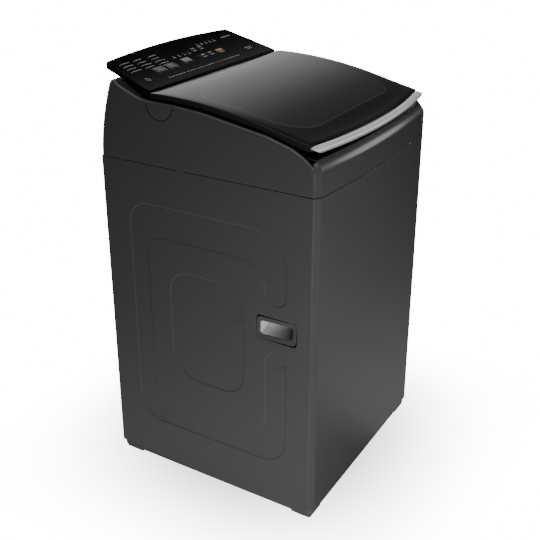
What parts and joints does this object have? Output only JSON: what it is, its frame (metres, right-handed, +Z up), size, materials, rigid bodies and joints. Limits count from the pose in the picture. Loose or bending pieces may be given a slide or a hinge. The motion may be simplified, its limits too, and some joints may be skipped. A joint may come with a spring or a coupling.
{
  "type": "top load washing machine",
  "caption": "Upright washing machine with a bowed front, sloped control console, hinged glass lid over a hung tub, steel basket and impeller.",
  "frame": {"origin": "centre of the footprint on the floor plane, under the middle of the overall box", "axes": "+X to the right seen from the front, +Y to the back, +Z up; the lid's grip faces -Y"},
  "size_m": [0.56, 0.583, 1.0024],
  "materials": {
    "painted_graphite": "satin metallic",
    "cover_graphite": "satin metallic",
    "black_plastic": "satin",
    "panel_black": "glossy",
    "print_white": "satin",
    "display_grey": "glossy",
    "key_dark": "satin",
    "key_orange": "satin",
    "lid_tint": "glossy tinted",
    "bright_strip": "bright",
    "grip_grey": "satin",
    "rubber_black": "matte",
    "zinc_steel": "zinc plated",
    "basket_steel": "satin",
    "cast_aluminium": "as cast",
    "tub_white": "satin",
    "pale_grey": "satin",
    "impeller_grey": "satin",
    "board_green": "satin",
    "part_grey": "satin",
    "belt_black": "matte"
  },
  "bodies": {
    "cabinet": {"cabinet_shell": "painted_graphite", "rear_panel": "painted_graphite", "rear_access_cover": "painted_graphite", "base_frame": "black_plastic", "foot_pads": "rubber_black", "levelling_nut": "zinc_steel", "top_cover": "cover_graphite", "deck": "black_plastic", "console_body": "black_plastic", "console_panel": "panel_black", "display_window": "display_grey", "indicator_lights": "print_white", "control_board": "board_green", "hinge_cap_left": "cover_graphite", "hinge_cap_right": "cover_graphite", "hinge_brackets": "black_plastic", "lid_damper": "black_plastic", "lid_bumpers": "rubber_black", "lid_switch": "part_grey", "side_handle_left": "grip_grey", "side_handle_right": "grip_grey", "inlet_valve": "part_grey", "dispenser_box": "tub_white", "corner_brackets": "zinc_steel", "suspension_rods": "zinc_steel", "suspension_springs": "zinc_steel", "drain_outlet": "black_plastic", "cord_gland": "black_plastic", "pressure_sensor": "part_grey", "capacitor": "part_grey", "cover_screws": "zinc_steel"},
    "lid": {"lid_frame": "panel_black", "lid_glass": "lid_tint", "lid_handle_strip": "bright_strip", "lid_hinge_pins": "zinc_steel"},
    "drawer": {"detergent_drawer": "tub_white"},
    "level_key": {"key_level": "key_dark"},
    "programme_key": {"key_programme": "key_dark"},
    "rinse_key": {"key_rinse": "key_dark"},
    "soak_key": {"key_soak": "key_dark"},
    "spin_key": {"key_spin": "key_dark"},
    "power_key": {"key_power": "key_dark"},
    "start_key": {"key_start": "key_orange"},
    "foot": {"levelling_foot": "rubber_black"},
    "tub": {"outer_tub": "tub_white", "tub_ring": "tub_white", "shaft_bearings": "zinc_steel", "gear_case": "cast_aluminium", "motor_body": "cast_aluminium", "motor_bracket": "zinc_steel", "drive_belt": "belt_black", "drain_valve": "part_grey"},
    "basket": {"wash_basket": "basket_steel", "balance_ring": "pale_grey", "basket_hub": "cast_aluminium", "spin_shaft": "zinc_steel", "lint_filters": "pale_grey"},
    "agitator": {"impeller": "impeller_grey", "drive_shaft": "zinc_steel"},
    "motor_rotor": {"motor_pulley": "cast_aluminium"}
  },
  "joints": [
    {"name": "lid_hinge", "type": "hinge", "parent": "cabinet", "child": "lid", "pos_m": [0, 0.108, 0.938], "axis": [-1, 0, 0], "range_deg": [0, 84]},
    {"name": "drawer_slide", "type": "slide", "parent": "cabinet", "child": "drawer", "axis": [0, -1, 0], "range_m": [0, 0.11]},
    {"name": "level_key_press", "type": "slide", "parent": "cabinet", "child": "level_key", "axis": [0, 0.2991, -0.9542], "range_m": [0, 0.0008], "stiffness_N_per_m": 400, "springref_m": -0.0006},
    {"name": "programme_key_press", "type": "slide", "parent": "cabinet", "child": "programme_key", "axis": [0, 0.2991, -0.9542], "range_m": [0, 0.0008], "stiffness_N_per_m": 400, "springref_m": -0.0006},
    {"name": "rinse_key_press", "type": "slide", "parent": "cabinet", "child": "rinse_key", "axis": [0, 0.2991, -0.9542], "range_m": [0, 0.0008], "stiffness_N_per_m": 400, "springref_m": -0.0006},
    {"name": "soak_key_press", "type": "slide", "parent": "cabinet", "child": "soak_key", "axis": [0, 0.2991, -0.9542], "range_m": [0, 0.0008], "stiffness_N_per_m": 400, "springref_m": -0.0006},
    {"name": "spin_key_press", "type": "slide", "parent": "cabinet", "child": "spin_key", "axis": [0, 0.2991, -0.9542], "range_m": [0, 0.0008], "stiffness_N_per_m": 400, "springref_m": -0.0006},
    {"name": "power_key_press", "type": "slide", "parent": "cabinet", "child": "power_key", "axis": [0, 0.2991, -0.9542], "range_m": [0, 0.0008], "stiffness_N_per_m": 400, "springref_m": -0.0006},
    {"name": "start_key_press", "type": "slide", "parent": "cabinet", "child": "start_key", "axis": [0, 0.2991, -0.9542], "range_m": [0, 0.0008], "stiffness_N_per_m": 400, "springref_m": -0.0006},
    {"name": "foot_turn", "type": "hinge", "parent": "cabinet", "child": "foot", "pos_m": [0.244, -0.242, 0], "axis": [0, 0, 1], "continuous": true},
    {"name": "tub_suspension", "type": "slide", "parent": "cabinet", "child": "tub", "axis": [0, 0, 1], "range_m": [-0.014, 0.014], "stiffness_N_per_m": 9000, "springref_m": 0.02, "deforming": ["suspension_springs"]},
    {"name": "basket_spin", "type": "hinge", "parent": "tub", "child": "basket", "pos_m": [0, 0, 0.2], "axis": [0, 0, 1], "continuous": true},
    {"name": "impeller_spin", "type": "hinge", "parent": "tub", "child": "agitator", "pos_m": [0, 0, 0.2], "axis": [0, 0, 1], "continuous": true},
    {"name": "motor_spin", "type": "hinge", "parent": "tub", "child": "motor_rotor", "pos_m": [0.155, 0, 0.09], "axis": [0, 0, 1], "continuous": true}
  ],
  "couplings": [
    {"joint": "motor_spin", "follows": "impeller_spin", "ratio": 3.3871}
  ]
}
